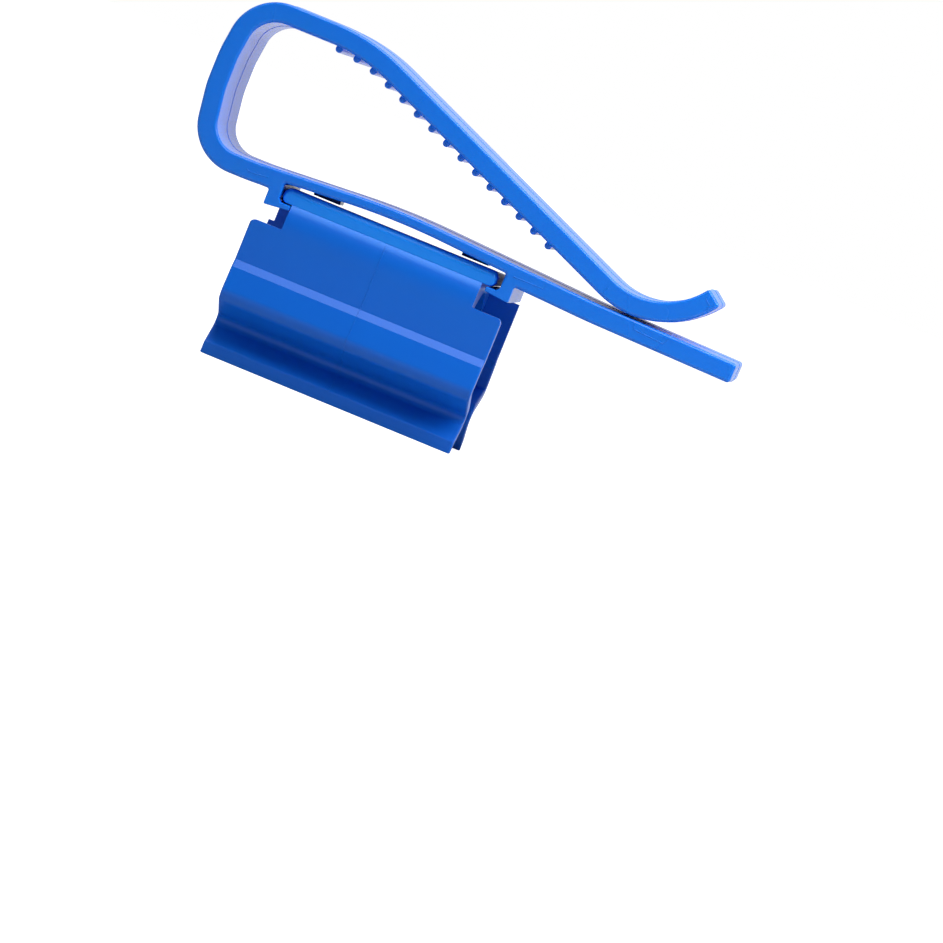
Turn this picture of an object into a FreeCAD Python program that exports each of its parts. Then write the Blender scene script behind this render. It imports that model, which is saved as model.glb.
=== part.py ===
"""Spring clip that grips a bucket rim between a leg and a toothed arm, with a sliding tube cradle under the leg.

Frame: X runs along the leg from the spring loop to the free end, Y across the strip, Z up.
The origin is the centre of the overall box, on the plane that the cradle's two lips stand on.
"""
import FreeCAD, Part
import math
import os

from FreeCAD import Vector

# Strip of the spring clip
STRIP_WIDTH = 28.0
STRIP_THICKNESS = 4.1
END_ROUND = 0.6

# Middle of the strip, as corners (x, z, bend radius); the loop's back is vertical where it flexes
PIVOT_X = -56.05
PIVOT_Z = 52.7
SPLIT_LEG_X = -46.4
SPLIT_ARM_X = -44.0
LEG_Z_AT_SPLIT = 36.5
ARM_TOP_Z = 67.25
LEG_PATH = [
    (58.1, 35.35, 0.0),
    (27.6, 36.05, 150.0),
    (-14.0, 38.38, 150.0),
    (-43.0, LEG_Z_AT_SPLIT, 60.0),
    (SPLIT_LEG_X, LEG_Z_AT_SPLIT, 0.0),
]
LOOP_LOWER_PATH = [
    (SPLIT_LEG_X, LEG_Z_AT_SPLIT, 0.0),
    (-54.25, LEG_Z_AT_SPLIT, 7.7),
    (PIVOT_X, 49.3, 20.0),
    (PIVOT_X, PIVOT_Z, 0.0),
]
LOOP_UPPER_PATH = [
    (PIVOT_X, PIVOT_Z, 0.0),
    (PIVOT_X, 56.0, 20.0),
    (-54.6, ARM_TOP_Z, 7.75),
    (SPLIT_ARM_X, ARM_TOP_Z, 0.0),
]
ARM_BEND_X = -31.5
ARM_BEND_RADIUS = 36.0
ARM_SLOPE_DEG = 22.9
CURL_X = 40.7
CURL_RADIUS = 16.65
CURL_END_DEG = 52.0

# Teeth on the arm's inner face
TOOTH_COUNT = 15
TOOTH_PITCH = 4.0
TOOTH_RADIUS = 0.72
TOOTH_HEIGHT = 1.1
TOOTH_INSET = 0.8
LAST_TOOTH_FROM_BEND = 52.0

# T-slot under the leg
SLOT_CENTRE_X = -13.2
SLOT_LENGTH = 46.3
SLOT_ROOF_THICKNESS = 2.2
POST_THICKNESS = 2.65
HOOK_REACH = 2.6
HOOK_BOTTOM_Z = 31.5
HOOK_TIP_BOTTOM_Z = 32.05
HOOK_TOP_Z = 33.05
HOOK_ROOT_CHAMFER = 0.6
POST_TOP_Z = 35.6
RIB_CENTRES_X = (-28.9, 2.5)
RIB_LENGTH = 5.6
RIB_DEPTH = 6.0
RIB_BOTTOM_Z = 36.45
RIB_TOP_Z = 38.0

# Cradle for a 23 mm tube, which passes just under the hooks
CRADLE_CENTRE_X = -13.6
CRADLE_LENGTH = 52.7
FLANGE_LENGTH = 45.0
FLANGE_HALF_WIDTH = 12.9
FLANGE_TOP_Z = 36.4
FLANGE_THICKNESS = 3.2
FLANGE_ROUND = 1.25
FLANGE_RIM_Y = -9.0
FLANGE_RIM_HEIGHT = 0.7
TONGUE_LENGTH = 40.0
NEAR_SHOULDER_Z = 28.15
FAR_SHOULDER_Z = 31.15
FAR_SHOULDER_START_X = -38.8
SHOULDER_ROUND = 1.0
TUBE_BORE_RADIUS = 11.6
TUBE_AXIS_Z = 19.65
WALL_Y = 14.2
WALL_TOP_Y = 12.8
WALL_BEND_Z = 27.3
JAW_HINGE_Z = 21.0
JAW_THICKNESS = 2.0
JAW_OUTLINE = [
    (-WALL_Y, JAW_HINGE_Z, 0.0),
    (-WALL_Y, 19.6, 0.0),
    (-15.1, 18.1, 0.0),
    (-16.4, 11.7, 4.0),
    (-5.4, 7.3, 1.5),
    (-14.0, -0.315, 0.0),
]
LIP_Y = 10.9
LIP_HEIGHT = 2.4

# Gap round each flexing knuckle
KNUCKLE_GAP = 0.05

HALF_STRIP = STRIP_THICKNESS / 2
HALF_WIDTH = STRIP_WIDTH / 2
FLANGE_BOTTOM_Z = FLANGE_TOP_Z - FLANGE_THICKNESS
MARGIN = 5.0


def in_xz(p, q):
    return Vector(p, 0, q)


def in_yz(p, q):
    return Vector(0, p, q)


def unit(a, b):
    length = math.dist(a, b)
    return ((b[0] - a[0]) / length, (b[1] - a[1]) / length)


def left_of(direction):
    return (-direction[1], direction[0])


def moved(point, direction, distance):
    return (point[0] + direction[0] * distance, point[1] + direction[1] * distance)


def offset_corner(before, corner, after, radius, shift):
    """Points where a rounded corner starts, is half way and ends, on the line shift to the path's left."""
    into = unit(before, corner)
    out = unit(corner, after)
    turn = math.atan2(into[0] * out[1] - into[1] * out[0], into[0] * out[0] + into[1] * out[1])
    if radius == 0.0:
        middle = left_of(unit((0, 0), (into[0] + out[0], into[1] + out[1])))
        return [moved(corner, middle, shift / math.cos(turn / 2))]
    side = math.copysign(1.0, turn)
    tangent = radius * math.tan(abs(turn) / 2)
    start = moved(corner, into, -tangent)
    centre = moved(start, left_of(into), side * radius)
    swing = radius - side * shift
    half = unit(centre, corner)
    return [
        moved(start, left_of(into), shift),
        moved(centre, half, swing),
        moved(moved(corner, out, tangent), left_of(out), shift),
    ]


def path_edges(path, shift, place):
    """Straight runs and tangent arcs along a path of (p, q, radius), moved shift to its left."""
    points = [(p, q) for p, q, _ in path]
    edges = []
    here = moved(points[0], left_of(unit(points[0], points[1])), shift)
    for i in range(1, len(points) - 1):
        corner = offset_corner(points[i - 1], points[i], points[i + 1], path[i][2], shift)
        edges.append(Part.makeLine(place(*here), place(*corner[0])))
        if len(corner) == 3:
            edges.append(Part.Arc(*[place(*p) for p in corner]).toShape())
        here = corner[-1]
    last = moved(points[-1], left_of(unit(points[-2], points[-1])), shift)
    edges.append(Part.makeLine(place(*here), place(*last)))
    return edges


def band(path, left, right, place, along):
    """Solid between two lines beside a path, extruded by the vector along."""
    first = path_edges(path, left, place)
    second = path_edges(path, right, place)
    start = Part.makeLine(first[0].Vertexes[0].Point, second[0].Vertexes[0].Point)
    end = Part.makeLine(first[-1].Vertexes[-1].Point, second[-1].Vertexes[-1].Point)
    wire = Part.Wire(Part.__sortEdges__(first + [end] + second + [start]))
    return Part.Face(wire).extrude(along)


def strip(path):
    """Length of the clip's strip along a path, centred on Y."""
    solid = band(path, HALF_STRIP, -HALF_STRIP, in_xz, Vector(0, STRIP_WIDTH, 0))
    return solid.translated(Vector(0, -HALF_WIDTH, 0))


def block(x0, x1, y0, y1, z0, z1):
    return Part.makeBox(x1 - x0, y1 - y0, z1 - z0, Vector(x0, y0, z0))


def across(outline, y0, y1):
    """Prism of an XZ outline, from y0 to y1."""
    wire = Part.makePolygon([Vector(x, y0, z) for x, z in outline + outline[:1]])
    return Part.Face(wire).extrude(Vector(0, y1 - y0, 0))


def cross_rod(x, z, radius):
    """Cylinder along Y, as wide as the strip."""
    return Part.makeCylinder(radius, STRIP_WIDTH, Vector(x, -HALF_WIDTH, z), Vector(0, 1, 0))


def rounded(solid, radius, wanted):
    """The solid with the edges that wanted picks rounded."""
    return solid.makeFillet(radius, [e for e in solid.Edges if wanted(e)])


def runs_along(edge, axis):
    ends = [v.Point for v in edge.Vertexes]
    return len(ends) == 2 and (ends[1] - ends[0]).normalize().cross(axis).Length < 1e-6


def hook(side):
    """L-shaped hook at one end of the T-slot: side is -1 at the loop's end and +1 at the free end."""
    face = SLOT_CENTRE_X + side * SLOT_LENGTH / 2
    outer = face + side * POST_THICKNESS
    tip = face - side * HOOK_REACH
    outline = [
        (face, POST_TOP_Z),
        (outer, POST_TOP_Z),
        (outer, HOOK_BOTTOM_Z),
        (tip, HOOK_TIP_BOTTOM_Z),
        (tip, HOOK_TOP_Z),
        (face - side * HOOK_ROOT_CHAMFER, HOOK_TOP_Z),
        (face, HOOK_TOP_Z + HOOK_ROOT_CHAMFER),
    ]
    return across(outline, -HALF_WIDTH, HALF_WIDTH)


def leg():
    """Leg with the T-slot's thin roof, its two hooks and the two ribs that steady the flange."""
    body = strip(LEG_PATH)
    free_end_x = LEG_PATH[0][0]
    body = rounded(body, END_ROUND, lambda e: runs_along(e, Vector(0, 1, 0)) and e.BoundBox.XMin > free_end_x - 1)
    below_roof = band(
        LEG_PATH, HALF_STRIP + MARGIN, SLOT_ROOF_THICKNESS - HALF_STRIP, in_xz, Vector(0, STRIP_WIDTH, 0)
    ).translated(Vector(0, -HALF_WIDTH, 0))
    slot_start = SLOT_CENTRE_X - SLOT_LENGTH / 2
    slot = block(slot_start, slot_start + SLOT_LENGTH, -HALF_WIDTH, HALF_WIDTH, 0, ARM_TOP_Z)
    body = body.cut(below_roof.common(slot))
    for side in (-1, 1):
        body = body.fuse(hook(side))
    for x in RIB_CENTRES_X:
        body = body.fuse(
            block(x - RIB_LENGTH / 2, x + RIB_LENGTH / 2, -RIB_DEPTH / 2, RIB_DEPTH / 2, RIB_BOTTOM_Z, RIB_TOP_Z)
        )
    return body.removeSplitter()


def loop_lower():
    """Lower half of the spring loop, ending in a hollow that takes the upper half's knuckle."""
    return strip(LOOP_LOWER_PATH).cut(cross_rod(PIVOT_X, PIVOT_Z, HALF_STRIP + KNUCKLE_GAP))


def loop_upper():
    """Upper half of the spring loop, with the round knuckle that it flexes about."""
    return strip(LOOP_UPPER_PATH).fuse(cross_rod(PIVOT_X, PIVOT_Z, HALF_STRIP)).removeSplitter()


def arm_direction():
    slope = math.radians(ARM_SLOPE_DEG)
    return (math.cos(slope), -math.sin(slope))


def arm_point(distance):
    """Point on the arm's straight middle line, measured from its bend's corner."""
    return moved((ARM_BEND_X, ARM_TOP_Z), arm_direction(), distance)


def tooth(x, z, lean_deg):
    """Rib with a half-round crest, standing TOOTH_HEIGHT out of the inner face at x, z, leaning with the arm."""
    depth = STRIP_WIDTH - 2 * TOOTH_INSET
    crest = TOOTH_HEIGHT - TOOTH_RADIUS
    start = Vector(-TOOTH_RADIUS, -depth / 2, -crest)
    stem = Part.makeBox(2 * TOOTH_RADIUS, depth, crest + HALF_STRIP / 2, start)
    crown = Part.makeCylinder(TOOTH_RADIUS, depth, Vector(0, -depth / 2, -crest), Vector(0, 1, 0))
    solid = stem.fuse(crown).removeSplitter()
    solid.rotate(Vector(0, 0, 0), Vector(0, 1, 0), lean_deg)
    return solid.translated(Vector(x, 0, z))


def tooth_places():
    """Foot and lean of every tooth: a straight row that follows the bend over its last few teeth."""
    direction = arm_direction()
    inward = (-left_of(direction)[0], -left_of(direction)[1])
    tangent = ARM_BEND_RADIUS * math.tan(math.radians(ARM_SLOPE_DEG) / 2)
    inner_radius = ARM_BEND_RADIUS - HALF_STRIP
    centre = (ARM_BEND_X - tangent, ARM_TOP_Z - ARM_BEND_RADIUS)
    for i in range(TOOTH_COUNT):
        distance = LAST_TOOTH_FROM_BEND - i * TOOTH_PITCH
        if distance > tangent:
            foot = moved(arm_point(distance), inward, HALF_STRIP)
            yield foot[0], foot[1], ARM_SLOPE_DEG
        else:
            turned = max(0.0, ARM_SLOPE_DEG - math.degrees((tangent - distance) / inner_radius))
            angle = math.radians(90 - turned)
            flat = max(0.0, (tangent - distance) - math.radians(ARM_SLOPE_DEG) * inner_radius)
            x = centre[0] + inner_radius * math.cos(angle) - flat
            yield x, centre[1] + inner_radius * math.sin(angle), turned


def arm_path():
    """Middle line of the arm, from the loop over its bend and round its curled end."""
    direction = arm_direction()
    corner = arm_point((CURL_X - ARM_BEND_X) / direction[0])
    rise = math.radians(CURL_END_DEG)
    turn = rise + math.radians(ARM_SLOPE_DEG)
    end = moved(corner, (math.cos(rise), math.sin(rise)), CURL_RADIUS * math.tan(turn / 2) + 2 * END_ROUND)
    return [
        (SPLIT_ARM_X, ARM_TOP_Z, 0.0),
        (ARM_BEND_X, ARM_TOP_Z, ARM_BEND_RADIUS),
        (*corner, CURL_RADIUS),
        (*end, 0.0),
    ]


def toothed_arm():
    """Arm with its row of teeth and the curled end that leads the rim in under them."""
    tip = in_xz(*arm_path()[-1][:2])
    at_tip = HALF_STRIP + END_ROUND / 2
    body = rounded(
        strip(arm_path()), END_ROUND,
        lambda e: runs_along(e, Vector(0, 1, 0)) and e.BoundBox.Center.distanceToPoint(tip) < at_tip,
    )
    for x, z, lean in tooth_places():
        body = body.fuse(tooth(x, z, lean))
    return body.removeSplitter()


def tube_space():
    start = Vector(CRADLE_CENTRE_X - CRADLE_LENGTH, 0, TUBE_AXIS_Z)
    return Part.makeCylinder(TUBE_BORE_RADIUS, 2 * CRADLE_LENGTH, start, Vector(1, 0, 0))


def wall_relief():
    """Room below the saddle, whose sides run from the bore's tangent points out to the jaws' inner faces."""
    jaw_y = WALL_Y - JAW_THICKNESS
    drop = JAW_HINGE_Z - TUBE_AXIS_Z
    away = math.hypot(jaw_y, drop)
    reach = math.sqrt(away ** 2 - TUBE_BORE_RADIUS ** 2)
    heading = math.pi + math.atan2(drop, jaw_y) - math.asin(TUBE_BORE_RADIUS / away)
    top_y, top_z = moved((jaw_y, JAW_HINGE_Z), (math.cos(heading), math.sin(heading)), reach)
    corners = [(-jaw_y, JAW_HINGE_Z), (jaw_y, JAW_HINGE_Z), (top_y, top_z), (-top_y, top_z)]
    wire = Part.makePolygon([in_yz(*corner) for corner in corners + corners[:1]])
    room = Part.Face(wire).extrude(Vector(2 * CRADLE_LENGTH, 0, 0))
    return room.translated(Vector(CRADLE_CENTRE_X - CRADLE_LENGTH, 0, 0))


def flange():
    """Plate that rides in the T-slot: round long edges, round ears and a low rim along the near edge."""
    half = FLANGE_LENGTH / 2
    plate = block(
        CRADLE_CENTRE_X - half, CRADLE_CENTRE_X + half,
        -FLANGE_HALF_WIDTH, FLANGE_HALF_WIDTH, FLANGE_BOTTOM_Z, FLANGE_TOP_Z,
    )
    plate = rounded(plate, FLANGE_ROUND, lambda e: not runs_along(e, Vector(0, 0, 1)))
    low_top = FLANGE_TOP_Z - FLANGE_RIM_HEIGHT
    return plate.cut(block(
        CRADLE_CENTRE_X - half - MARGIN, CRADLE_CENTRE_X + half + MARGIN,
        FLANGE_RIM_Y, FLANGE_HALF_WIDTH + MARGIN, low_top, FLANGE_TOP_Z + MARGIN,
    ))


def shell_top():
    """Upper shell of the cradle above the jaws, as one prism along X."""
    rise = FLANGE_BOTTOM_Z - WALL_BEND_Z
    lean = WALL_Y - WALL_TOP_Y
    shoulder_radius = (rise ** 2 + lean ** 2) / (2 * lean)
    half_angle = math.asin(rise / shoulder_radius) / 2
    side_y = WALL_Y - shoulder_radius * (1 - math.cos(half_angle))
    side_z = WALL_BEND_Z + shoulder_radius * math.sin(half_angle)
    edges = []
    for side in (-1, 1):
        edges.append(Part.makeLine(in_yz(side * WALL_Y, JAW_HINGE_Z), in_yz(side * WALL_Y, WALL_BEND_Z)))
        edges.append(Part.Arc(
            in_yz(side * WALL_Y, WALL_BEND_Z), in_yz(side * side_y, side_z), in_yz(side * WALL_TOP_Y, FLANGE_BOTTOM_Z)
        ).toShape())
    edges.append(Part.makeLine(in_yz(-WALL_TOP_Y, FLANGE_BOTTOM_Z), in_yz(WALL_TOP_Y, FLANGE_BOTTOM_Z)))
    edges.append(Part.makeLine(in_yz(-WALL_Y, JAW_HINGE_Z), in_yz(WALL_Y, JAW_HINGE_Z)))
    wire = Part.Wire(Part.__sortEdges__(edges))
    solid = Part.Face(wire).extrude(Vector(CRADLE_LENGTH, 0, 0))
    return solid.translated(Vector(CRADLE_CENTRE_X - CRADLE_LENGTH / 2, 0, 0))


def notches():
    """Room for the hooks at both ends: cut deeper into the near wall than into the far one."""
    room = block(
        CRADLE_CENTRE_X - CRADLE_LENGTH, FAR_SHOULDER_START_X,
        0, STRIP_WIDTH, NEAR_SHOULDER_Z, FLANGE_BOTTOM_Z + MARGIN,
    )
    for side in (-1, 1):
        inner = CRADLE_CENTRE_X + side * TONGUE_LENGTH / 2
        outer = inner + side * TONGUE_LENGTH
        x0, x1 = sorted((inner, outer))
        for y0, y1, z in ((-STRIP_WIDTH, 0, NEAR_SHOULDER_Z), (0, STRIP_WIDTH, FAR_SHOULDER_Z)):
            room = room.fuse(block(x0, x1, y0, y1, z, FLANGE_BOTTOM_Z + MARGIN))
    return room


def end_rooms():
    """Space between the two side walls beyond the tongue, where the cradle has no saddle."""
    inner_y = WALL_Y - JAW_THICKNESS
    room = None
    for side in (-1, 1):
        inner = CRADLE_CENTRE_X + side * TONGUE_LENGTH / 2
        x0, x1 = sorted((inner, inner + side * TONGUE_LENGTH))
        part = block(x0, x1, -inner_y, inner_y, JAW_HINGE_Z, FLANGE_TOP_Z + MARGIN)
        room = part if room is None else room.fuse(part)
    return room


def hinge_rod(side, gap):
    """Cylinder in the middle of a wall where the jaw meets the upper shell."""
    radius = JAW_THICKNESS / 2
    start = Vector(CRADLE_CENTRE_X - CRADLE_LENGTH / 2, side * (WALL_Y - radius), JAW_HINGE_Z)
    return Part.makeCylinder(radius + gap, CRADLE_LENGTH, start, Vector(1, 0, 0))


def is_shoulder_corner(edge):
    """Outer corners of the end walls at the near shoulder's height."""
    at_end = abs(abs(edge.BoundBox.Center.x - CRADLE_CENTRE_X) - CRADLE_LENGTH / 2) < 0.01
    at_shoulder = abs(edge.BoundBox.Center.z - NEAR_SHOULDER_Z) < 0.01
    return at_end and at_shoulder and runs_along(edge, Vector(0, 1, 0))


def cradle_top():
    """Flange and saddle of the cradle, bored for the tube and hollowed for the jaws' knuckles."""
    body = shell_top().cut(notches())
    body = body.cut(tube_space()).cut(wall_relief()).cut(end_rooms())
    body = rounded(body, SHOULDER_ROUND, is_shoulder_corner)
    body = body.fuse(flange())
    for side in (-1, 1):
        body = body.cut(hinge_rod(side, KNUCKLE_GAP))
    return body.removeSplitter()


def near_jaw():
    """Sprung side wall: a ridge, the bulge round the tube, the neck of the mouth and a flared lip."""
    wall = band(JAW_OUTLINE, 0.0, JAW_THICKNESS, in_yz, Vector(CRADLE_LENGTH, 0, 0))
    wall = wall.translated(Vector(CRADLE_CENTRE_X - CRADLE_LENGTH / 2, 0, 0))
    start_x = CRADLE_CENTRE_X - CRADLE_LENGTH
    end_x = CRADLE_CENTRE_X + CRADLE_LENGTH
    room = block(start_x, end_x, -STRIP_WIDTH, 0, 0, JAW_HINGE_Z)
    past_lip = block(start_x, end_x, -STRIP_WIDTH, -LIP_Y, -MARGIN, 2 * LIP_HEIGHT)
    wall = wall.common(room).cut(past_lip)
    return wall.fuse(hinge_rod(-1, 0.0)).removeSplitter()


def far_jaw():
    return near_jaw().mirror(Vector(0, 0, 0), Vector(0, 1, 0))


NODES = {
    "gripping_leg": leg,
    "spring_loop_lower": loop_lower,
    "spring_loop_upper": loop_upper,
    "toothed_arm": toothed_arm,
    "cradle_top": cradle_top,
    "near_jaw": near_jaw,
    "far_jaw": far_jaw,
}


def main():
    os.makedirs("parts", exist_ok=True)
    for name, make in NODES.items():
        shape = make()
        solids = shape.Solids
        box = shape.BoundBox
        print(
            f"{name}: {len(solids)} solid, valid {shape.isValid()}, volume {shape.Volume:.1f}, "
            f"X {box.XMin:.2f} {box.XMax:.2f} Y {box.YMin:.2f} {box.YMax:.2f} Z {box.ZMin:.2f} {box.ZMax:.2f}"
        )
        shape.exportStep(f"parts/{name}.step")


main()
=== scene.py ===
import math

import bmesh
import bpy
from mathutils import Matrix, Vector


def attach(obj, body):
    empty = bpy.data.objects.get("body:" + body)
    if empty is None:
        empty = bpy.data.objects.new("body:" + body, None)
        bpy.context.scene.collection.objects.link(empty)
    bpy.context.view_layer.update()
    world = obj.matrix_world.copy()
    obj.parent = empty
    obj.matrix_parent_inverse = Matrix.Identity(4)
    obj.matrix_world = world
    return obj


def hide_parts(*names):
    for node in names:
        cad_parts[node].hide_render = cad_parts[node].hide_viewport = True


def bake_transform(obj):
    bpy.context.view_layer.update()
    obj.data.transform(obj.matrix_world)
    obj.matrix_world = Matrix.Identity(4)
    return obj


# Spring clip for a bucket rim, with a tube cradle that slides in a T-slot under its leg.
# Lengths are millimetres, turned to metres as each vertex is made. Profiles are drawn in (x, z) or (y, z).

MM = 0.001

# Spring clip
HALF_WIDTH = 14.0
HALF_STRIP = 2.05
LEG_SEAM_X = -46.4
ARM_SEAM_X = -44.0
LEG_Z = 36.5
ARM_TOP_Z = 67.25
LEG_PATH = [
    (58.1, 35.35, 0), (27.6, 36.05, 150), (-14.0, 38.38, 150),
    (-43.0, LEG_Z, 60), (LEG_SEAM_X, LEG_Z, 0),
]
LOOP_PATH = [
    (LEG_SEAM_X, LEG_Z, 0), (-54.25, LEG_Z, 7.7), (-56.05, 49.3, 20),
    (-56.05, 56.0, 20), (-54.6, ARM_TOP_Z, 7.75), (ARM_SEAM_X, ARM_TOP_Z, 0),
]
ARM_BEND = (-31.5, ARM_TOP_Z, 36.0)
ARM_SLOPE = math.radians(22.9)
CURL_X = 40.7
CURL_RADIUS = 16.65
CURL_RISE = math.radians(52.0)
CURL_TAIL = 1.2
END_ROUND = 0.8
TOOTH_COUNT = 15
TOOTH_PITCH = 4.0
TOOTH_RADIUS = 0.72
TOOTH_HEIGHT = 1.1
TOOTH_REACH = 12.5
TOOTH_ROOT = 1.0
TOOTH_DOME = 0.4
LAST_TOOTH_FROM_BEND = 52.0
SLOT_START_X = -36.35
SLOT_END_X = 9.95
SLOT_ROOF = 2.2
POST = 2.65
HOOK_REACH = 2.6
HOOK_ROUND = 0.35
HOOK_TIP_ROUND = 0.25
HOOK_EASE = 0.3
HOOK_ZONE_Z = 36.3
RIBS_X = (-28.9, 2.5)
RIB_Z = (36.46, 37.6)
RIB_HALF_LENGTH = 2.8
RIB_HALF_WIDTH = 3.0
RIB_FILLET = 0.15
MARK_WIDTH = 0.2
MARK_HEIGHT = 0.05
MARK_ROOT = 0.3
BEAD_HALF_WIDTH = 0.2
BEAD_CREST = 0.09
BEAD_HEIGHT = 0.07

# Cradle
CRADLE_X = (-39.95, 12.75)
TONGUE_X = (-33.6, 6.4)
FLANGE_X = (-36.1, 8.9)
FLANGE_Z = (33.2, 36.4)
FLANGE_HALF_WIDTH = 12.9
FLANGE_ROUND = 1.45
FLANGE_EASE = 0.12
FLANGE_RIM_Y = -9.0
FLANGE_LOW_Z = 35.7
NEAR_SHOULDER_Z = 28.15
FAR_SHOULDER_Z = 31.15
FAR_SHOULDER_START_X = -38.8
SHOULDER_ROUND = 1.1
NOTCH_ROUND = 0.3
NOTCH_FILLET = 0.2
CLEAR = 5.0
PAST_SIDE = 20
WALL_Y = 14.2
WALL_TOP_Y = 12.95
WALL_BEND_Z = 27.3
SHOULDER_POWER = 3.2
SHOULDER_STEPS = 14
END_ROOM_Y = 12.19
WALL_SEAM_Z = 26.9
BORE = 11.6
BORE_Z = 19.65
JAW_HINGE_Z = 21.0
JAW_THICKNESS = 2.0
LIP = (-10.9, 2.43)
LIP_ROUND = 0.4
LIP_FOOT_ROUND = 0.12
WALL_PATH = [
    (-WALL_Y, WALL_SEAM_Z, 0), (-WALL_Y, 19.6, 0), (-15.1, 18.1, 0),
    (-15.5, 16.2, 8), (-16.4, 11.7, 2.6), (-5.4, 7.3, 1.5), (*LIP, 0),
]

STRIP_FILLET = 0.65
STRIP_DRAFT = 0.06
CRADLE_FILLET = 0.35
QUARTER_STEPS = 6
ARC_STEP = math.radians(5)
RUN_STEP = 1.2
SHARP = math.radians(17)
CORNER = math.radians(60)
ON_SEAM = 1e-4
WELD = 0.01


def left(v):
    return Vector((-v.y, v.x))


def turned(v, angle):
    return Matrix.Rotation(angle, 2) @ v


def offset_line(path, shift=0.0):
    """Points of the line that runs shift to the left of a path of (p, q, bend radius) corners."""
    corners = [Vector((p, q)) for p, q, _ in path]
    steps = [(b - a).normalized() for a, b in zip(corners, corners[1:])]
    line = [corners[0] + left(steps[0]) * shift]
    for corner, (_, _, radius), into, out in zip(corners[1:-1], path[1:-1], steps, steps[1:]):
        turn = math.atan2(into.cross(out), into.dot(out))
        if radius == 0:
            line.append(corner + left((into + out).normalized()) * shift / math.cos(turn / 2))
            continue
        side = math.copysign(1, turn)
        start = corner - into * radius * math.tan(abs(turn) / 2)
        spoke = -left(into) * side
        count = max(2, math.ceil(abs(turn) / ARC_STEP), math.ceil(radius * abs(turn) / RUN_STEP))
        for k in range(count + 1):
            line.append(start - spoke * radius + turned(spoke, turn * k / count) * (radius - side * shift))
    line.append(corners[-1] + left(steps[-1]) * shift)
    return line


def as_path(points):
    return [(p.x, p.y, 0) for p in points]


def arc(centre, radius, start, end, count=None):
    """Points round a centre from one angle to another, in radians."""
    count = count or max(2, math.ceil(abs(end - start) / ARC_STEP))
    angles = [start + (end - start) * k / count for k in range(count + 1)]
    return [Vector((centre[0] + radius * math.cos(a), centre[1] + radius * math.sin(a))) for a in angles]


def box(p0, p1, q0, q1):
    """Corners of a rectangle."""
    return [Vector((p0, q0)), Vector((p1, q0)), Vector((p1, q1)), Vector((p0, q1))]


def levels(low, high, fillet, draft=0.0, bead=False):
    """(distance, inset) pairs across a slab: rounded edges at both ends, and a parting bead half way."""
    quarter = [math.pi / 2 * k / QUARTER_STEPS for k in range(QUARTER_STEPS + 1)]
    edge = [(fillet * (1 - math.cos(a)), draft + fillet * (1 - math.sin(a))) for a in quarter]
    middle = (low + high) / 2
    ridge = [
        (-BEAD_HALF_WIDTH, 0.0), (-BEAD_CREST, -BEAD_HEIGHT),
        (BEAD_CREST, -BEAD_HEIGHT), (BEAD_HALF_WIDTH, 0.0),
    ] if bead else []
    return (
        [(low + d, inset) for d, inset in edge]
        + [(middle + d, inset) for d, inset in ridge]
        + [(high - d, inset) for d, inset in reversed(edge)]
    )


def across_y(p, q, w):
    return (p, w, q)


def along_x(p, q, w):
    return (w, p, q)


def add_slab(bm, outline, steps, place, seams=(), ladder=False, ease=None):
    """Closed solid: an outline carried across, inset at each step by as much as ease allows at each point.

    Lines that lie on a seam keep their place.
    """
    area = sum(a.cross(b) for a, b in zip(outline, outline[1:] + outline[:1]))
    if area < 0:
        outline = outline[::-1]
    count = len(outline)
    heads = [(outline[(i + 1) % count] - outline[i]).normalized() for i in range(count)]
    ends = [(outline[i], outline[(i + 1) % count]) for i in range(count)]
    on_seam = [
        any(max(abs(a[axis] - at), abs(b[axis] - at)) < ON_SEAM for axis, at in seams)
        for a, b in ends
    ]
    inward = []
    for i in range(count):
        before, after = left(heads[i - 1]), left(heads[i])
        if on_seam[i - 1]:
            inward.append(after)
        elif on_seam[i]:
            inward.append(before)
        else:
            inward.append((before + after) * 2 / (before + after).length_squared)
    if ease:
        inward = [way * ease(point) for way, point in zip(inward, outline)]
    rings = []
    for w, inset in steps:
        points = [outline[i] + inward[i] * inset for i in range(count)]
        rings.append([bm.verts.new(Vector(place(p.x, p.y, w)) * MM) for p in points])
    for low, high in zip(rings, rings[1:]):
        for i in range(count):
            j = (i + 1) % count
            bm.faces.new((low[i], low[j], high[j], high[i]))
    for ring in (rings[0], rings[-1]):
        if ladder:
            for i in range(count // 2 - 1):
                bm.faces.new((ring[i], ring[i + 1], ring[count - 2 - i], ring[count - 1 - i]))
        else:
            bm.faces.new(ring)


def piece(name, bm, material):
    """Object made from a bmesh: smooth over its fillets, crisp at its corners."""
    bmesh.ops.recalc_face_normals(bm, faces=bm.faces)
    for face in bm.faces:
        face.smooth = True
    for edge in bm.edges:
        edge.smooth = edge.calc_face_angle(0) < SHARP
    mesh = bpy.data.meshes.new(name)
    bm.to_mesh(mesh)
    bm.free()
    mesh.materials.append(material)
    made = bpy.data.objects.new(name, mesh)
    bpy.context.scene.collection.objects.link(made)
    even = made.modifiers.new("even", "WEIGHTED_NORMAL")
    even.keep_sharp = True
    return made


# Spring clip

def strip_levels():
    return levels(-HALF_WIDTH, HALF_WIDTH, STRIP_FILLET, draft=STRIP_DRAFT, bead=True)


def hook_corners(side):
    """Corners of one T-slot hook, from the post's foot round to the slot's roof."""
    face = SLOT_START_X if side < 0 else SLOT_END_X
    post = face + side * POST
    tip = face - side * HOOK_REACH
    return [
        (post, 34.6 if side < 0 else 34.8, HOOK_ROUND), (post, 31.5, HOOK_ROUND),
        (tip, 32.05, HOOK_TIP_ROUND), (tip, 33.05, HOOK_TIP_ROUND),
        (face - side * 0.6, 33.05, 0), (face, 33.65, 0), (face, 36.72, HOOK_ROUND),
    ]


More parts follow.
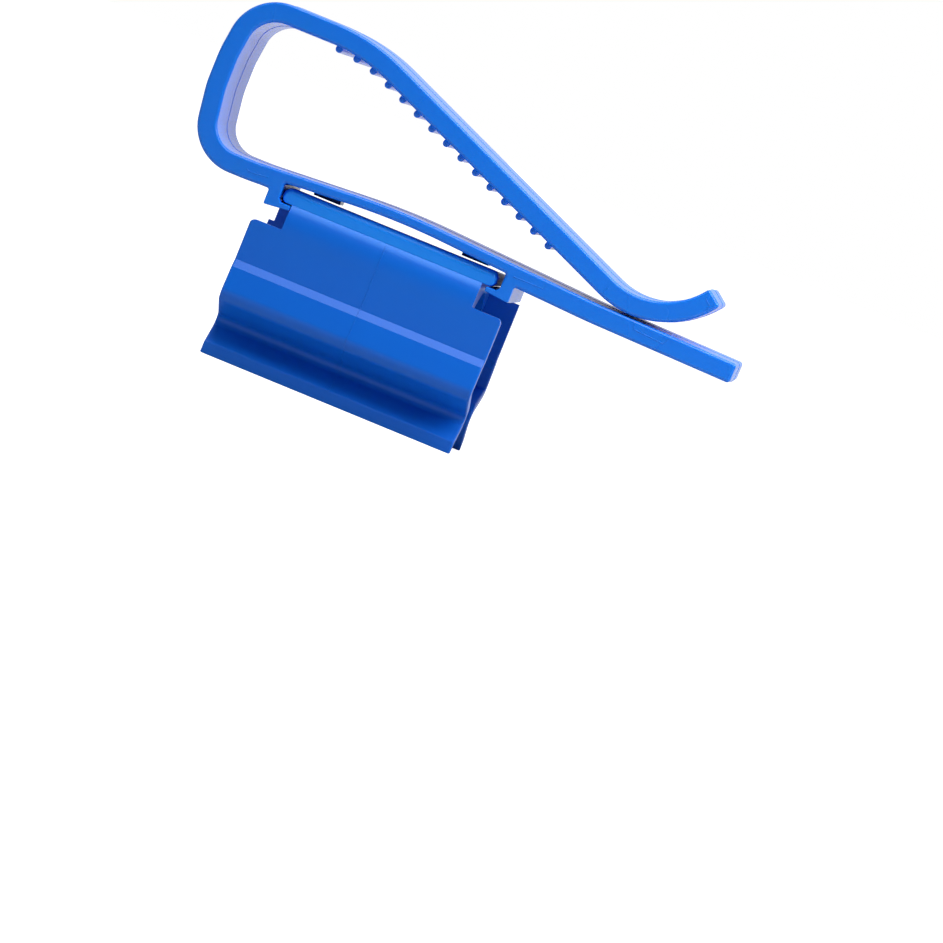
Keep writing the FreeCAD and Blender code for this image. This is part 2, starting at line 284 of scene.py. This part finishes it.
def leg_outline():
    """Side view of the leg: its underside broken by the two hooks and the slot, then its end and its top."""
    top = offset_line(LEG_PATH, -HALF_STRIP)
    bottom = offset_line(LEG_PATH, HALF_STRIP)[::-1]
    roof = offset_line(LEG_PATH, SLOT_ROOF - HALF_STRIP)[::-1]
    left_hook = hook_corners(-1)
    right_hook = hook_corners(1)[::-1]
    corners = as_path([p for p in bottom if p.x < left_hook[0][0] - 0.5])
    corners += left_hook
    corners += as_path([p for p in roof if SLOT_START_X + 0.9 < p.x < SLOT_END_X - 0.9])
    corners += right_hook
    corners += as_path([p for p in bottom[:-1] if p.x > right_hook[-1][0] + 0.5])
    corners += [(bottom[-1].x, bottom[-1].y, END_ROUND), (top[0].x, top[0].y, END_ROUND)]
    corners += as_path(top[1:])
    return offset_line(corners)


def hook_ease(p):
    """The hooks are too slim for the strip's full edge rounding."""
    at_hook = p.y < HOOK_ZONE_Z and SLOT_START_X - POST - 0.2 < p.x < SLOT_END_X + POST + 0.2
    return HOOK_EASE if at_hook else 1.0


def leg(material):
    bm = bmesh.new()
    add_slab(bm, leg_outline(), strip_levels(), across_y, seams=[(0, LEG_SEAM_X)], ease=hook_ease)
    return piece("leg", bm, material)


def ribs(material):
    """Short blocks under the slot's roof that steady the flange."""
    bm = bmesh.new()
    for x in RIBS_X:
        corners = box(x - RIB_HALF_LENGTH, x + RIB_HALF_LENGTH, *RIB_Z)
        add_slab(bm, corners, levels(-RIB_HALF_WIDTH, RIB_HALF_WIDTH, RIB_FILLET), across_y)
    return piece("slot_ribs", bm, material)


def refined(first, second, step):
    """Two lines of equal count with extra points, so that neither has a run longer than step."""
    a, b = [first[0]], [second[0]]
    for i in range(len(first) - 1):
        longest = max((line[i + 1] - line[i]).length for line in (first, second))
        count = max(1, math.ceil(longest / step))
        for k in range(1, count + 1):
            a.append(first[i].lerp(first[i + 1], k / count))
            b.append(second[i].lerp(second[i + 1], k / count))
    return a, b


def loop(material):
    inner, outer = (offset_line(LOOP_PATH, shift) for shift in (-HALF_STRIP, HALF_STRIP))
    inner, outer = refined(inner, outer, RUN_STEP)
    bm = bmesh.new()
    seams = [(0, LEG_SEAM_X), (0, ARM_SEAM_X)]
    add_slab(bm, inner + outer[::-1], strip_levels(), across_y, seams, ladder=True)
    return piece("spring_loop", bm, material)


def line_marks(name, routes, material):
    """Fine raised lines on the near face, left by the joints of the mould."""
    bm = bmesh.new()
    for route in routes:
        for a, b in zip(route, route[1:]):
            start, end = Vector(a), Vector(b)
            along = (end - start).normalized() * MARK_WIDTH / 2
            out = left(along)
            start, end = start - along, end + along
            bar = [start - out, end - out, end + out, start + out]
            steps = levels(-HALF_WIDTH - MARK_HEIGHT, -HALF_WIDTH + MARK_ROOT, MARK_HEIGHT)
            add_slab(bm, bar, steps, across_y)
    return piece(name, bm, material)


def arm_heading():
    return Vector((math.cos(ARM_SLOPE), -math.sin(ARM_SLOPE)))


def arm_path():
    """Middle line of the arm: level, then down the slope, then up round the curl."""
    corner = Vector(ARM_BEND[:2]) + arm_heading() * (CURL_X - ARM_BEND[0]) / math.cos(ARM_SLOPE)
    reach = CURL_RADIUS * math.tan((ARM_SLOPE + CURL_RISE) / 2) + CURL_TAIL
    end = corner + Vector((math.cos(CURL_RISE), math.sin(CURL_RISE))) * reach
    return [(ARM_SEAM_X, ARM_TOP_Z, 0), ARM_BEND, (corner.x, corner.y, CURL_RADIUS), (end.x, end.y, 0)]


def arm(material):
    lower = offset_line(arm_path(), -HALF_STRIP)
    upper = offset_line(arm_path(), HALF_STRIP)[::-1]
    tip = [(lower[-1].x, lower[-1].y, END_ROUND), (upper[0].x, upper[0].y, END_ROUND)]
    outline = offset_line(as_path(lower[:-1]) + tip + as_path(upper[1:]))
    bm = bmesh.new()
    add_slab(bm, outline, strip_levels(), across_y, seams=[(0, ARM_SEAM_X)])
    return piece("toothed_arm_strip", bm, material)


def tooth_foot(index):
    """Place and lean of a tooth on the arm's inner face, straight first and then round the bend."""
    distance = LAST_TOOTH_FROM_BEND - index * TOOTH_PITCH
    tangent = ARM_BEND[2] * math.tan(ARM_SLOPE / 2)
    if distance > tangent:
        on_axis = Vector(ARM_BEND[:2]) + arm_heading() * distance
        return on_axis - left(arm_heading()) * HALF_STRIP, ARM_SLOPE
    radius = ARM_BEND[2] - HALF_STRIP
    lean = max(0.0, ARM_SLOPE - (tangent - distance) / radius)
    flat = max(0.0, tangent - distance - ARM_SLOPE * radius)
    centre = Vector((ARM_BEND[0] - tangent, ARM_BEND[1] - ARM_BEND[2]))
    return centre + Vector((radius * math.sin(lean) - flat, radius * math.cos(lean))), lean


def teeth(material):
    """Half-round ribs across the arm's inner face, with domed ends."""
    crest = TOOTH_RADIUS - TOOTH_HEIGHT
    section = [Vector((TOOTH_RADIUS, TOOTH_ROOT)), Vector((-TOOTH_RADIUS, TOOTH_ROOT))]
    section += arc((0, crest), TOOTH_RADIUS, math.pi, 2 * math.pi)
    bm = bmesh.new()
    for index in range(TOOTH_COUNT):
        foot, lean = tooth_foot(index)
        outline = [foot + turned(p, -lean) for p in section]
        add_slab(bm, outline, levels(-TOOTH_REACH, TOOTH_REACH, TOOTH_DOME), across_y)
    return piece("arm_teeth", bm, material)


def marks(material):
    """Short raised lines of the mould, on the leg and on the arm."""
    leg_routes = [
        [(11.7, 36.75), (17.8, 36.75), (18.2, 38.0)],
        [(36.75, 37.2), (37.1, 36.1), (43.35, 35.7), (43.95, 37.1)],
        [(-44.3, 36.5), (-43.5, 36.2), (-39.9, 36.6)],
    ]
    arm_routes = [
        [(29.35, 41.6), (28.8, 40.0)],
        [(47.75, 46.85), (48.9, 45.8), (48.6, 45.2)],
    ]
    on_leg = line_marks("leg_mould_marks", leg_routes, material)
    on_arm = line_marks("arm_mould_marks", arm_routes, material)
    return on_leg, on_arm


# Cradle

def bore_angle(z):
    """Angle on the bore's circle at a height."""
    return math.asin((z - BORE_Z) / BORE)


def relief_point():
    """Where the wall's straight inner face leaves the bore, as (y, z) on the near side."""
    jaw_y = WALL_Y - JAW_THICKNESS
    drop = JAW_HINGE_Z - BORE_Z
    away = math.hypot(jaw_y, drop)
    heading = math.pi + math.atan2(drop, jaw_y) - math.asin(BORE / away)
    reach = math.sqrt(away ** 2 - BORE ** 2)
    return Vector((-jaw_y - reach * math.cos(heading), JAW_HINGE_Z + reach * math.sin(heading)))


def wall_outline():
    """Near wall from the seam under the shoulder down to the flared lip."""
    outer = offset_line(WALL_PATH)
    inner = offset_line(WALL_PATH, JAW_THICKNESS)
    slope = (inner[-1] - inner[-2]).normalized()
    foot_y = inner[-1].x - slope.x * inner[-1].y / slope.y
    lip = offset_line([
        (*outer[-2], 0), (*LIP, LIP_ROUND),
        (LIP[0], 0, LIP_FOOT_ROUND), (foot_y, 0, LIP_FOOT_ROUND), (*inner[-2], 0),
    ])[1:-1]
    tangent = relief_point()
    start = math.pi - math.asin((tangent.y - BORE_Z) / BORE)
    bore = arc((0, BORE_Z), BORE, start, math.pi - bore_angle(WALL_SEAM_Z))
    jaw = inner[::-1][1:-1] + [Vector((-WALL_Y + JAW_THICKNESS, JAW_HINGE_Z))]
    return outer[:-1] + lip + jaw + bore


def shoulder_curve():
    """Bulge of the saddle's side as (y, z): upright at the bend, then leaning in up to the flange."""
    rise = FLANGE_Z[0] - WALL_BEND_Z
    lean = WALL_Y - WALL_TOP_Y
    parts = [k / SHOULDER_STEPS for k in range(SHOULDER_STEPS + 2)]
    return [Vector((WALL_Y - lean * t ** SHOULDER_POWER, WALL_BEND_Z + rise * t)) for t in parts]


def saddle_outline():
    """Arch over the tube, from the walls' seams up into the flange."""
    outer = [Vector((WALL_Y, WALL_SEAM_Z))] + shoulder_curve()
    angle = bore_angle(WALL_SEAM_Z)
    bore = arc((0, BORE_Z), BORE, math.pi - angle, angle)
    return bore + outer + [Vector((-p.x, p.y)) for p in outer[::-1]]


def cutter(outline, steps):
    """Plain solid across Y, to be taken out of another one."""
    bm = bmesh.new()
    add_slab(bm, outline, steps, across_y)
    solid = piece("cutter", bm, None)
    solid.modifiers.clear()
    return solid


def notch(side, near):
    """Room for a hook at one end of the cradle. Its corner is round near, sharp on the far side."""
    inner = TONGUE_X[0] if side < 0 else TONGUE_X[1]
    outer = CRADLE_X[0] if side < 0 else CRADLE_X[1]
    past = outer + side * CLEAR
    roof = FLANGE_Z[1] + CLEAR
    corners = [(past, roof, 0), (inner, roof, 0)]
    if near:
        turn = outer - side * SHOULDER_ROUND
        low = NEAR_SHOULDER_Z - SHOULDER_ROUND
        corners += [(inner, NEAR_SHOULDER_Z, NOTCH_ROUND), (turn, NEAR_SHOULDER_Z, 0)]
        corner = arc((turn, low), SHOULDER_ROUND, math.pi / 2, 0 if side > 0 else math.pi)
        end = corner[1:] + [Vector((past, low))]
    elif side < 0:
        corners += [
            (inner, FAR_SHOULDER_Z, NOTCH_ROUND), (FAR_SHOULDER_START_X, FAR_SHOULDER_Z, 0),
            (FAR_SHOULDER_START_X, NEAR_SHOULDER_Z, NOTCH_ROUND), (past, NEAR_SHOULDER_Z, 0),
        ]
        end = []
    else:
        corners += [(inner, FAR_SHOULDER_Z, NOTCH_ROUND), (past, FAR_SHOULDER_Z, 0)]
        end = []
    reach = [(-PAST_SIDE, 0), (0, 0)] if near else [(0, 0), (PAST_SIDE, 0)]
    return cutter(offset_line(corners) + end, reach)


def end_room(side):
    """Space between the two side walls beyond the tongue, where the cradle has no saddle."""
    inner = TONGUE_X[0] if side < 0 else TONGUE_X[1]
    past = (CRADLE_X[0] if side < 0 else CRADLE_X[1]) + side * CLEAR
    room = box(past, inner, JAW_HINGE_Z - 1, FLANGE_Z[1] + CLEAR)
    return cutter(room, [(-END_ROOM_Y, 0), (END_ROOM_Y, 0)])


def carved(bm, cutters, material):
    """Mesh left of a solid when the cutters are taken out of it."""
    blank = piece("blank", bm, material)
    blank.modifiers.clear()
    for tool in cutters:
        hole = blank.modifiers.new("hole", "BOOLEAN")
        hole.operation = "DIFFERENCE"
        hole.solver = "EXACT"
        hole.object = tool
    left_over = bmesh.new()
    left_over.from_object(blank, bpy.context.evaluated_depsgraph_get())
    for used in cutters + [blank]:
        bpy.data.objects.remove(used)
    return left_over


def wall(name, side, material):
    """One side wall, from the seam under the saddle's shoulder down to its lip."""
    outline = [Vector((-side * p.x, p.y)) for p in wall_outline()]
    bm = bmesh.new()
    add_slab(bm, outline, levels(*CRADLE_X, CRADLE_FILLET), along_x, seams=[(1, WALL_SEAM_Z)])
    return piece(name, carved(bm, [end_room(-1), end_room(1)], material), material)


def saddle(material):
    """Arch between the flange and the walls, with the hooks' room cut away and its cut edges eased."""
    bm = bmesh.new()
    add_slab(bm, saddle_outline(), levels(*CRADLE_X, CRADLE_FILLET), along_x, seams=[(1, WALL_SEAM_Z)])
    cutters = [notch(side, near) for side in (-1, 1) for near in (True, False)]
    bm = carved(bm, cutters + [end_room(-1), end_room(1)], material)
    bmesh.ops.remove_doubles(bm, verts=bm.verts, dist=WELD * MM)
    bmesh.ops.dissolve_degenerate(bm, edges=bm.edges, dist=WELD * MM)
    above_seam = (WALL_SEAM_Z + 0.1) * MM
    corners = [
        edge for edge in bm.edges
        if edge.calc_face_angle(0) > CORNER and min(v.co.z for v in edge.verts) > above_seam
    ]
    bmesh.ops.bevel(
        bm, geom=corners, offset=NOTCH_FILLET * MM, segments=3,
        profile=0.5, affect="EDGES", clamp_overlap=True,
    )
    bmesh.ops.holes_fill(bm, edges=[edge for edge in bm.edges if edge.is_boundary])
    return piece("cradle_saddle", bm, material)


def mid_line(name, path, side, material):
    """Fine raised line that the mould leaves round the cradle at mid length."""
    outline = offset_line(path, -MARK_HEIGHT) + offset_line(path, MARK_ROOT)[::-1]
    middle = (CRADLE_X[0] + CRADLE_X[1]) / 2
    bm = bmesh.new()
    steps = levels(middle - MARK_WIDTH / 2, middle + MARK_WIDTH / 2, MARK_HEIGHT)
    add_slab(bm, [Vector((-side * p.x, p.y)) for p in outline], steps, along_x)
    return piece(name, bm, material)


def flange(material):
    """Plate that rides in the T-slot, with round upper edges and a low top behind its near rim."""
    outline = offset_line([
        (0, FLANGE_Z[0], 0), (FLANGE_X[1], FLANGE_Z[0], 1.3), (FLANGE_X[1], FLANGE_Z[1], 1.5),
        (FLANGE_X[0], FLANGE_Z[1], 1.6), (FLANGE_X[0], FLANGE_Z[0], 1.3), (0, FLANGE_Z[0], 0),
    ])[:-1]

    def ease(p):
        return FLANGE_EASE + (1 - FLANGE_EASE) * (p.y - FLANGE_Z[0]) / (FLANGE_Z[1] - FLANGE_Z[0])

    bm = bmesh.new()
    add_slab(bm, outline, levels(-FLANGE_HALF_WIDTH, FLANGE_HALF_WIDTH, FLANGE_ROUND), across_y, ease=ease)
    behind_rim = box(FLANGE_X[0] - CLEAR, FLANGE_X[1] + CLEAR, FLANGE_LOW_Z, FLANGE_Z[1] + CLEAR)
    step = cutter(behind_rim, [(FLANGE_RIM_Y, 0), (FLANGE_HALF_WIDTH + CLEAR, 0)])
    return piece("cradle_flange", carved(bm, [step], material), material)


# Materials

GLOSS_SPREAD = 0.015
# Heights over which the colour turns to the lighter top colour, a painted highlight.
PAINTED_HIGHLIGHT_Z = (31.8, 33.6)


def plastic(name, colour, depth, roughness, gloss_level=0.5, top=None):
    """Injection-moulded polypropylene: smooth and satin, with a faint unevenness in its gloss.

    A top colour, if given, takes over toward the flange. It is a painted highlight that makes the moulding
    lighter toward its top.
    """
    material = bpy.data.materials.new(name)
    material.use_nodes = True
    nodes = material.node_tree.nodes
    links = material.node_tree.links
    shader = nodes["Principled BSDF"]
    shader.inputs["IOR"].default_value = 1.49
    shader.inputs["Specular IOR Level"].default_value = gloss_level
    shader.inputs["Subsurface Weight"].default_value = 0.12
    shader.inputs["Subsurface Radius"].default_value = (0.2, 0.6, 1.0)
    shader.inputs["Subsurface Scale"].default_value = 0.002
    place = nodes.new("ShaderNodeTexCoord")
    mottle = nodes.new("ShaderNodeTexNoise")
    mottle.inputs["Scale"].default_value = 45
    mottle.inputs["Detail"].default_value = 2
    links.new(place.outputs["Object"], mottle.inputs["Vector"])
    shade = nodes.new("ShaderNodeMix")
    shade.data_type = "RGBA"
    shade.inputs["A"].default_value = (*colour, 1)
    shade.inputs["B"].default_value = (*depth, 1)
    links.new(mottle.outputs["Fac"], shade.inputs["Factor"])
    tint = shade.outputs["Result"]
    # Painted highlight: the colour turns lighter toward the flange above these heights.
    if top:
        height = nodes.new("ShaderNodeSeparateXYZ")
        links.new(place.outputs["Object"], height.inputs["Vector"])
        rise = nodes.new("ShaderNodeMapRange")
        rise.inputs["From Min"].default_value = PAINTED_HIGHLIGHT_Z[0] * MM
        rise.inputs["From Max"].default_value = PAINTED_HIGHLIGHT_Z[1] * MM
        links.new(height.outputs["Z"], rise.inputs["Value"])
        blend = nodes.new("ShaderNodeMix")
        blend.data_type = "RGBA"
        blend.inputs["B"].default_value = (*top, 1)
        links.new(rise.outputs["Result"], blend.inputs["Factor"])
        links.new(tint, blend.inputs["A"])
        tint = blend.outputs["Result"]
    links.new(tint, shader.inputs["Base Color"])
    gloss = nodes.new("ShaderNodeMapRange")
    gloss.inputs["From Min"].default_value = 0.15
    gloss.inputs["From Max"].default_value = 0.85
    gloss.inputs["To Min"].default_value = roughness - GLOSS_SPREAD
    gloss.inputs["To Max"].default_value = roughness + GLOSS_SPREAD
    links.new(mottle.outputs["Fac"], gloss.inputs["Value"])
    links.new(gloss.outputs["Result"], shader.inputs["Roughness"])
    return material


def floor_material():
    """White floor that shows no horizon. Its far part is white in reflections too."""
    material = bpy.data.materials.new("floor")
    material.use_nodes = True
    nodes = material.node_tree.nodes
    links = material.node_tree.links
    shader = nodes["Principled BSDF"]
    shader.inputs["Base Color"].default_value = (0.5, 0.5, 0.5, 1)
    shader.inputs["Roughness"].default_value = 0.9
    shader.inputs["Specular IOR Level"].default_value = 0.0
    shader.inputs["Emission Color"].default_value = (1, 1, 1, 1)
    seen = nodes.new("ShaderNodeLightPath")
    place = nodes.new("ShaderNodeTexCoord")
    split = nodes.new("ShaderNodeSeparateXYZ")
    links.new(place.outputs["Object"], split.inputs["Vector"])
    fade = nodes.new("ShaderNodeMapRange")
    fade.inputs["From Min"].default_value = 0.0
    fade.inputs["From Max"].default_value = 0.3
    fade.inputs["To Max"].default_value = 0.65
    links.new(split.outputs["Y"], fade.inputs["Value"])
    mirrored = nodes.new("ShaderNodeMath")
    mirrored.operation = "MULTIPLY"
    links.new(seen.outputs["Is Glossy Ray"], mirrored.inputs[0])
    links.new(fade.outputs["Result"], mirrored.inputs[1])
    glow = nodes.new("ShaderNodeMath")
    glow.operation = "MAXIMUM"
    links.new(seen.outputs["Is Camera Ray"], glow.inputs[0])
    links.new(mirrored.outputs["Value"], glow.inputs[1])
    links.new(glow.outputs["Value"], shader.inputs["Emission Strength"])
    return material


# Studio

def outward(azimuth, elevation):
    """Direction from the object, in radians. Azimuth 0 is in front, and a quarter turn is to the right."""
    level = math.cos(elevation)
    return Vector((math.sin(azimuth) * level, -math.cos(azimuth) * level, math.sin(elevation)))


def area_light(name, azimuth, elevation, distance, size, power):
    """Square soft light that faces the object. The angles are in degrees."""
    data = bpy.data.lights.new(name, "AREA")
    data.shape = "SQUARE"
    data.size = size
    data.energy = power
    light = bpy.data.objects.new(name, data)
    way = outward(math.radians(azimuth), math.radians(elevation))
    light.location = Vector((0, 0, 0.04)) + way * distance
    light.rotation_euler = (-way).to_track_quat("-Z", "Y").to_euler()
    bpy.context.scene.collection.objects.link(light)


def surround():
    """White to the camera. As light it is strong behind the object and weak in front."""
    world = bpy.data.worlds.new("studio")
    bpy.context.scene.world = world
    world.use_nodes = True
    nodes = world.node_tree.nodes
    links = world.node_tree.links
    back = nodes["Background"]
    seen = nodes.new("ShaderNodeLightPath")
    place = nodes.new("ShaderNodeTexCoord")
    split = nodes.new("ShaderNodeSeparateXYZ")
    links.new(place.outputs["Generated"], split.inputs["Vector"])
    fade = nodes.new("ShaderNodeMapRange")
    fade.inputs["From Min"].default_value = -0.3
    fade.inputs["From Max"].default_value = 0.4
    fade.inputs["To Min"].default_value = 0.04
    fade.inputs["To Max"].default_value = 0.85
    links.new(split.outputs["Y"], fade.inputs["Value"])
    strength = nodes.new("ShaderNodeMix")
    strength.data_type = "FLOAT"
    strength.inputs["B"].default_value = 1.0
    links.new(seen.outputs["Is Camera Ray"], strength.inputs["Factor"])
    links.new(fade.outputs["Result"], strength.inputs["A"])
    links.new(strength.outputs["Result"], back.inputs["Strength"])
    back.inputs["Color"].default_value = (1, 1, 1, 1)


def ground():
    """Square floor, eight metres wide."""
    bm = bmesh.new()
    bmesh.ops.create_grid(bm, x_segments=1, y_segments=1, size=4.0)
    mesh = bpy.data.meshes.new("floor")
    bm.to_mesh(mesh)
    bm.free()
    mesh.materials.append(floor_material())
    made = bpy.data.objects.new("floor", mesh)
    bpy.context.scene.collection.objects.link(made)


def studio():
    """Pale floor, a white surround and soft lights above and to both sides."""
    surround()
    ground()
    area_light("overhead", 20, 72, 1.0, 0.8, 9)
    area_light("left_front", -60, 35, 0.9, 0.6, 0.8)
    area_light("right_front", 58, 38, 0.27, 0.15, 0.42)


def camera():
    """Long lens, a little above and to the right, rolled so that the leg slopes down to the right."""
    azimuth, elevation, roll = math.radians(4.207), math.radians(3.755), math.radians(22.1)
    aim = Vector((17.27, 0, -2.15)) * MM
    distance = 1135.16 * MM
    way = outward(azimuth, elevation)
    data = bpy.data.cameras.new("camera")
    data.lens = 221.05
    data.sensor_width = 36
    data.clip_end = 20
    made = bpy.data.objects.new("camera", data)
    facing = (-way).to_track_quat("-Z", "Y").to_matrix().to_4x4()
    made.matrix_world = Matrix.Translation(aim + way * distance) @ facing @ Matrix.Rotation(roll, 4, "Z")
    bpy.context.scene.collection.objects.link(made)
    bpy.context.scene.camera = made


def clip():
    """The spring clip: a leg, a loop that bends, and a toothed arm."""
    material = plastic("clip_plastic", (0.002, 0.20, 0.88), (0.003, 0.18, 0.82), 0.27)
    bottom = leg(material)
    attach(bottom, "leg")
    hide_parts("gripping_leg")
    steady = ribs(material)
    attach(steady, "leg")
    spring = loop(material)
    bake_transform(spring)
    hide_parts("spring_loop_lower", "spring_loop_upper")
    top = arm(material)
    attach(top, "arm")
    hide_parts("toothed_arm")
    grip = teeth(material)
    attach(grip, "arm")
    leg_marks, arm_marks = marks(material)
    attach(leg_marks, "leg")
    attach(arm_marks, "arm")


def cradle():
    """The tube cradle: a flange, a saddle and two walls that spring apart."""
    # The cradle's colours are the clip's plastic made darker, which is painted shade. Its top colour is a
    # painted highlight that makes it lighter toward the flange.
    material = plastic(
        "cradle_plastic", (0.002, 0.15, 0.72), (0.003, 0.13, 0.66), 0.34,
        gloss_level=0.36, top=(0.01, 0.27, 1.0),
    )
    plate = flange(material)
    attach(plate, "cradle")
    body = saddle(material)
    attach(body, "cradle")
    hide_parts("cradle_top")
    near = wall("near_wall", -1, material)
    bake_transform(near)
    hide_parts("near_jaw")
    far = wall("far_wall", 1, material)
    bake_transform(far)
    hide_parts("far_jaw")
    upper = [(-p.x, p.y, 0) for p in shoulder_curve()[:-1][::-1]] + [(-WALL_Y, WALL_SEAM_Z, 0)]
    lines = []
    for side, body_name in ((-1, "near_wall"), (1, "far_wall")):
        on_saddle = mid_line(body_name + "_saddle_line", upper, side, material)
        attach(on_saddle, "cradle")
        on_wall = mid_line(body_name + "_line", WALL_PATH, side, material)
        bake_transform(on_wall)
        lines += [on_saddle, on_wall]


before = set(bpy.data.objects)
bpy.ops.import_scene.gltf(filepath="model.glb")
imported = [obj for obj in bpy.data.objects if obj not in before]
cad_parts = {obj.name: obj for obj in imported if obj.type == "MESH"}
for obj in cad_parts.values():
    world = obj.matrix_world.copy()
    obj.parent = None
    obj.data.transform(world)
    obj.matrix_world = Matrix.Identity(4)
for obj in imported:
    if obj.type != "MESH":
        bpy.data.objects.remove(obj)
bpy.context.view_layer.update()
clip()
cradle()
studio()
camera()
bpy.context.scene.view_settings.view_transform = "Standard"
